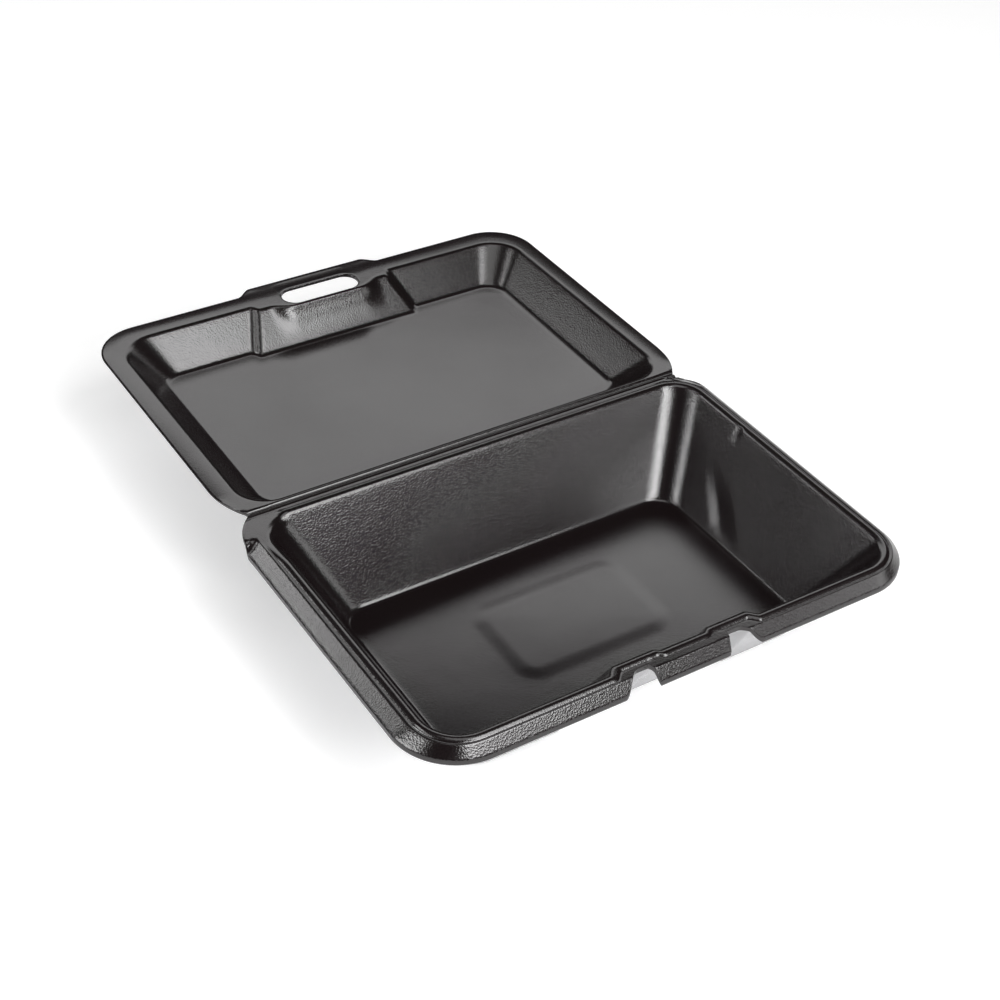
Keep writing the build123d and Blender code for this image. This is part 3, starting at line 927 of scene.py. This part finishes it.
class LidSizes(bpy.types.PropertyGroup):
    """Sizes of the lid, counted from the hinge line."""

    flange_level: length("Flange level", "Height of the flange", LID_HIGH.z)
    sheet: length("Sheet", "Thickness", 0.0016)
    depth: length("Depth", "From the flange down to the panel", 0.015)
    width: length("Width", "Along the hinge", LID_HIGH.x - LID_LOW.x)
    reach: length("Reach", "To the far edge beside the nose", 0.1546)
    opening_width: length("Opening width", "Inside the flange", 0.2114)
    opening_near: length("Opening near", "Near side of the opening", 0.0042)
    opening_far: length("Opening far", "Far side of the opening", 0.1428)
    panel_width: length("Panel width", "At the foot of the walls", 0.1826)
    panel_near: length("Panel near", "Near side of the panel", 0.0186)
    panel_far: length("Panel far", "Far side of the panel", 0.1275)
    near_radius: length("Near radius", "Opening's corners by the hinge", 0.015)
    far_radius: length("Far radius", "Opening's far corners", 0.017)
    panel_radius: length("Panel radius", "Panel's corners", 0.010)
    cove_radius: length("Cove radius", "Where the wall meets the panel", 0.004)
    foot_radius: length("Foot radius", "The same on the outside", 0.004)
    brim_radius: length("Brim radius", "Where the wall meets the flange", 0.003)
    corner_radius: length("Corner radius", "Far corners of the flange", 0.022)
    side_end: length("Side end", "Where the sides curve in to the hinge", 0.024)
    hinge_half_length: length("Hinge half length", "Half of the fold's length", 0.107)
    inset_half_width: length("Inset half width", "Panel set in behind the slot, at the flange", 0.0376)
    inset_foot_half_width: length("Inset foot half width", "The same at the panel", 0.045)
    inset_shoulder: length("Inset shoulder", "Run of the inset's side", 0.0036)
    inset_depth: length("Inset depth", "At the flange", 0.0038)
    inset_foot_depth: length("Inset foot depth", "At the panel", 0.0044)
    shelf_half_width: length("Shelf half width", "Shelf that carries the slot", 0.030)
    shelf_shoulder: length("Shelf shoulder", "Run of the shelf's side", 0.012)
    shelf_depth: length("Shelf depth", "At the flange", 0.0082)
    shelf_curve: number("Shelf curve", "Power by which the shelf runs out into the wall below", 2.4)
    nose_half_width: length("Nose half width", "Flat end of the nose", 0.030)
    nose_shoulder: length("Nose shoulder", "Run of its sides", 0.0085)
    nose_reach: length("Nose reach", "Beyond the far edge", 0.005)
    slot_length: length("Slot length", "Along the hinge", 0.040)
    slot_width: length("Slot width", "Across the hinge", 0.0132)
    slot_near: length("Slot near", "Near side of the slot", 0.1364)
    slot_edge_radius: length("Slot edge radius", "Softened edge", 0.0008)
    groove_depth: length("Groove depth", "Pressed line beside the fold", 0.0006)
    roll_width: length("Roll width", "Outer part of the flange that rolls over", 0.0085)
    roll_drop: length("Roll drop", "How far the outer edge lies below the flange", 0.0008)
    seam: length("Lid seam", "Where the shell meets the fold", 0.08135)


class FoldSizes(bpy.types.PropertyGroup):
    """Sizes of the living hinge."""

    bead_rise: length("Bead rise", "Bead beside the fold", 0.0004)
    bead_from_hinge: length("Bead from hinge", "Place of that bead", 0.0015)
    crease_depth: length("Crease depth", "Of the fold itself", 0.0008)
    thinning: length("Thinning", "How much thinner the sheet is at the fold", 0.0005)


class FoamLook(bpy.types.PropertyGroup):
    """Colours and relief of the foam's two skins."""

    black: colour("Black skin", "Inside, rim and cut edges", (0.0066, 0.0042, 0.0045))
    pale: colour("Pale skin", "Outside of tray and lid", (0.42, 0.42, 0.43))
    roughness: number("Roughness", "Mean roughness of the skin", 0.19)
    ior: number("IOR", "Of the skin", 1.70)
    pebble_cells: number("Pebble cells", "Cells in a metre", 1500)
    pebble_height: length("Pebble height", "Relief of the cells", 0.00007)
    grain_cells: number("Grain cells", "Finer grain in a metre", 2600)
    grain_height: length("Grain height", "Relief of the grain", 0.000025)
    smoothing: number("Smoothing", "How much flatter the cells are on level parts", 0.8)
    wave_cells: number("Wave cells", "Slow waves in a metre", 30)
    wave_height: length("Wave height", "Relief of the waves", 0.0001)
    cloud_cells: number("Cloud cells", "Patches of tone in a metre", 18)


class StageLook(bpy.types.PropertyGroup):
    """Floor, lights and the photograph's camera."""

    floor: colour("Floor", "Colour of the floor", (0.93, 0.93, 0.93))
    glow: number("Glow", "Light added to the floor where the camera sees it", 0.25)
    sky: number("Sky", "Level of the light from all round", 0.03)
    lens: number("Lens", "Focal length in millimetres on a 36 mm frame", 64.418)


TRAY_LANES = tray_lanes()
LID_LANES = lid_lanes(0.020, 0.0066)


# Operators


class CLAMSHELL_OT_tray(bpy.types.Operator):
    """Makes the tray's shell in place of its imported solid"""

    bl_idname = "clamshell.tray"
    bl_label = "Tray Shell"

    def execute(self, context):
        scene = context.scene
        skins = skin_materials(scene.clamshell_foam)
        tray = make_piece("tray_shell", *tray_shell(scene.clamshell_tray), skins)
        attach(tray, "tray")
        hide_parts("base_tray")
        return {"FINISHED"}


class CLAMSHELL_OT_lid(bpy.types.Operator):
    """Makes the lid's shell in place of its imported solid"""

    bl_idname = "clamshell.lid"
    bl_label = "Lid Shell"

    def execute(self, context):
        scene = context.scene
        skins = skin_materials(scene.clamshell_foam)
        lid = make_piece("lid_shell", *lid_shell(scene.clamshell_lid), skins)
        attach(lid, "lid")
        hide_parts("lid")
        return {"FINISHED"}


class CLAMSHELL_OT_fold(bpy.types.Operator):
    """Makes the living hinge, the strip of sheet between tray and lid"""

    bl_idname = "clamshell.fold"
    bl_label = "Hinge Fold"

    def execute(self, context):
        scene = context.scene
        shell = fold_shell(scene.clamshell_tray, scene.clamshell_lid, scene.clamshell_fold)
        fold = make_piece("hinge_fold", *shell, skin_materials(scene.clamshell_foam))
        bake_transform(fold)
        return {"FINISHED"}


class CLAMSHELL_OT_stage(bpy.types.Operator):
    """Makes the floor, the lights and the camera of the photograph"""

    bl_idname = "clamshell.stage"
    bl_label = "Stage"

    def execute(self, context):
        look = context.scene.clamshell_stage
        make_floor(look)
        make_world(look)
        soft_light("front_strip", 176, 30, (1.03, 0.39), 11.5)
        soft_light("left_strip", -85, 21.5, (0.92, 0.27), 9.0)
        soft_light("left_high_box", -88, 46, (0.40, 0.36), 3.0)
        soft_light("left_back_box", -62, 50, (0.30, 0.30), 6.0)
        soft_light("front_high_box", 158.5, 53, (0.60, 0.70), 7.6)
        soft_light("overhead_box", 200, 80, (0.70, 0.70), 1.5)
        soft_light("back_panel", 32, 36, (1.9, 0.44), 1.8)
        soft_light("left_back_panel", -43, 23, (0.60, 0.30), 4.0)
        soft_light("right_front_panel", 133, 16, (0.60, 0.45), 2.4)
        make_camera(look)
        context.scene.view_settings.view_transform = "Standard"
        return {"FINISHED"}


def skin_materials(look):
    """The black and the pale foam, made once."""
    names = (("black_foam_skin", look.black), ("pale_foam_skin", look.pale))
    return [bpy.data.materials.get(name) or foam_finish(name, look, tuple(shade)) for name, shade in names]


def make_floor(look):
    """A large pale floor under the foot."""
    reach, level = 3.0, -0.0003
    mesh = bpy.data.meshes.new("studio_floor")
    corners = [(-reach, -reach, level), (reach, -reach, level), (reach, reach, level), (-reach, reach, level)]
    mesh.from_pydata(corners, [], [(0, 1, 2, 3)])
    finish = Finish(bpy.data.materials.new("studio_floor_paint"))
    seen = finish.value(finish.node("LightPath"), "Is Camera Ray") * look.glow
    shader_inputs = {
        "Base Color": (*look.floor, 1),
        "Roughness": 0.9,
        "Emission Color": seen,
        "Emission Strength": 1.0,
    }
    shader = finish.node("BsdfPrincipled", None, shader_inputs)
    mesh.materials.append(finish.close(shader))
    floor = bpy.data.objects.new("studio_floor", mesh)
    bpy.context.scene.collection.objects.link(floor)


def make_world(look):
    """Even light from all round, and a white background where the camera looks past the floor."""
    air = Finish(bpy.data.worlds.new("studio_air"))
    bpy.context.scene.world = air.owner
    seen = air.value(air.node("LightPath"), "Is Camera Ray")
    dim = air.node("Background", None, {"Color": (1, 1, 1, 1), "Strength": look.sky})
    white = air.node("Background", None, {"Color": (1, 1, 1, 1), "Strength": 1.0})
    air.close(air.node("MixShader", None, {0: seen, 1: dim.outputs[0], 2: white.outputs[0]}), "OutputWorld")


def soft_light(name, bearing, elevation, size, radiance):
    """A soft light seen from the container at a bearing and an elevation in degrees.

    The bearing runs clockwise from the back. Its power is pi times its area times its radiance."""
    lamp = bpy.data.lights.new(name, "AREA")
    lamp.shape = "RECTANGLE"
    lamp.size, lamp.size_y = size
    lamp.energy = math.pi * size[0] * size[1] * radiance
    lamp_object = bpy.data.objects.new(name, lamp)
    bearing, elevation = math.radians(bearing), math.radians(elevation)
    level = LIGHT_DISTANCE * math.cos(elevation)
    height = LIGHT_DISTANCE * math.sin(elevation)
    place = Vector((level * math.sin(bearing), level * math.cos(bearing), height))
    lamp_object.location = place + STAGE_MIDDLE
    lamp_object.rotation_euler = (-place).to_track_quat("-Z", "Y").to_euler()
    lamp_object.visible_camera = False
    bpy.context.scene.collection.objects.link(lamp_object)


def make_camera(look):
    """The camera that the photograph was taken with, as fitted to the container's edges."""
    camera = bpy.data.cameras.new("photo_camera")
    camera.lens = look.lens
    camera.sensor_width = 36
    camera.clip_start = 0.01
    camera_object = bpy.data.objects.new("photo_camera", camera)
    back = -CAMERA_VIEW.normalized()
    across = CAMERA_UP.cross(back).normalized()
    up = back.cross(across)
    turn = Matrix((across, up, back)).transposed()
    camera_object.matrix_world = Matrix.Translation(CAMERA_PLACE) @ turn.to_4x4()
    bpy.context.scene.collection.objects.link(camera_object)
    bpy.context.scene.camera = camera_object


class CLAMSHELL_PT_container(bpy.types.Panel):
    """Buttons that make the container's pieces"""

    bl_idname = "CLAMSHELL_PT_container"
    bl_label = "Foam Clamshell"
    bl_space_type = "VIEW_3D"
    bl_region_type = "UI"
    bl_category = "Clamshell"

    def draw(self, context):
        for operator in OPERATORS:
            self.layout.operator(operator.bl_idname)


GROUPS = {
    "clamshell_tray": TraySizes,
    "clamshell_lid": LidSizes,
    "clamshell_fold": FoldSizes,
    "clamshell_foam": FoamLook,
    "clamshell_stage": StageLook,
}
OPERATORS = (CLAMSHELL_OT_tray, CLAMSHELL_OT_lid, CLAMSHELL_OT_fold, CLAMSHELL_OT_stage)


def register():
    for name, group in GROUPS.items():
        bpy.utils.register_class(group)
        setattr(bpy.types.Scene, name, bpy.props.PointerProperty(type=group))
    for operator in OPERATORS:
        bpy.utils.register_class(operator)
    bpy.utils.register_class(CLAMSHELL_PT_container)


def unregister():
    bpy.utils.unregister_class(CLAMSHELL_PT_container)
    for operator in reversed(OPERATORS):
        bpy.utils.unregister_class(operator)
    for name, group in GROUPS.items():
        delattr(bpy.types.Scene, name)
        bpy.utils.unregister_class(group)


def main():
    """Makes every piece and the stage."""
    register()
    bpy.ops.clamshell.tray()
    bpy.ops.clamshell.lid()
    bpy.ops.clamshell.fold()
    bpy.ops.clamshell.stage()


if __name__ == "__main__":
    main()
